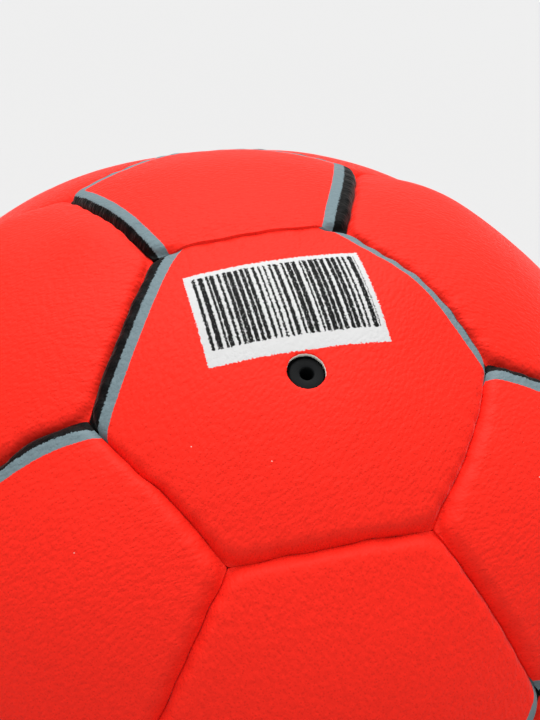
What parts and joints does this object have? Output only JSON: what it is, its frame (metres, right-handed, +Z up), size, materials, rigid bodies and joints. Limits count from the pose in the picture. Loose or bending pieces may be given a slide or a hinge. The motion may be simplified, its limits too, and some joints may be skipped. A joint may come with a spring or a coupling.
{
  "type": "handball",
  "caption": "Round hand-stitched ball with grained cover panels over foam and cloth lining, an air bladder inside and a push-in needle valve in one panel.",
  "frame": {"origin": "centre of the ball", "axes": "+Z up through the middle of the top pentagon panel; the valve panel is the upper hexagon that faces -Y, with its axis about 53 degrees above the horizontal"},
  "size_m": [0.1726, 0.1744, 0.175],
  "materials": {
    "cover": "grained matte",
    "foam": "closed-cell foam",
    "lining_cloth": "woven",
    "patch_cloth": "woven",
    "thread": "waxed polyester",
    "bladder_rubber": "smooth",
    "seat_rubber": "moulded matte",
    "valve_rubber": "moulded matte"
  },
  "bodies": {
    "ball": {"bladder": "bladder_rubber", "closing_thread": "thread", "hexagon_foam_pieces": "foam", "hexagon_lining_pieces": "lining_cloth", "hexagon_panel_02": "cover", "hexagon_panel_03": "cover", "hexagon_panel_04": "cover", "hexagon_panel_05": "cover", "hexagon_panel_06": "cover", "hexagon_panel_07": "cover", "hexagon_panel_08": "cover", "hexagon_panel_09": "cover", "hexagon_panel_10": "cover", "hexagon_panel_11": "cover", "hexagon_panel_12": "cover", "hexagon_panel_13": "cover", "hexagon_panel_14": "cover", "hexagon_panel_15": "cover", "hexagon_panel_16": "cover", "hexagon_panel_17": "cover", "hexagon_panel_18": "cover", "hexagon_panel_19": "cover", "hexagon_panel_20": "cover", "lower_half_thread": "thread", "pentagon_foam_pieces": "foam", "pentagon_lining_pieces": "lining_cloth", "pentagon_panel_01": "cover", "pentagon_panel_02": "cover", "pentagon_panel_03": "cover", "pentagon_panel_04": "cover", "pentagon_panel_05": "cover", "pentagon_panel_06": "cover", "pentagon_panel_07": "cover", "pentagon_panel_08": "cover", "pentagon_panel_09": "cover", "pentagon_panel_10": "cover", "pentagon_panel_11": "cover", "pentagon_panel_12": "cover", "upper_half_thread": "thread", "valve_panel": "cover", "valve_panel_foam": "foam", "valve_panel_lining": "lining_cloth", "valve_patch": "patch_cloth", "valve_seat": "seat_rubber"},
    "valve": {"valve_core": "valve_rubber"}
  },
  "joints": [
    {"name": "valve_slide", "type": "slide", "parent": "ball", "child": "valve", "axis": [0, -0.6071, 0.7947], "range_m": [0, 0.02]}
  ]
}
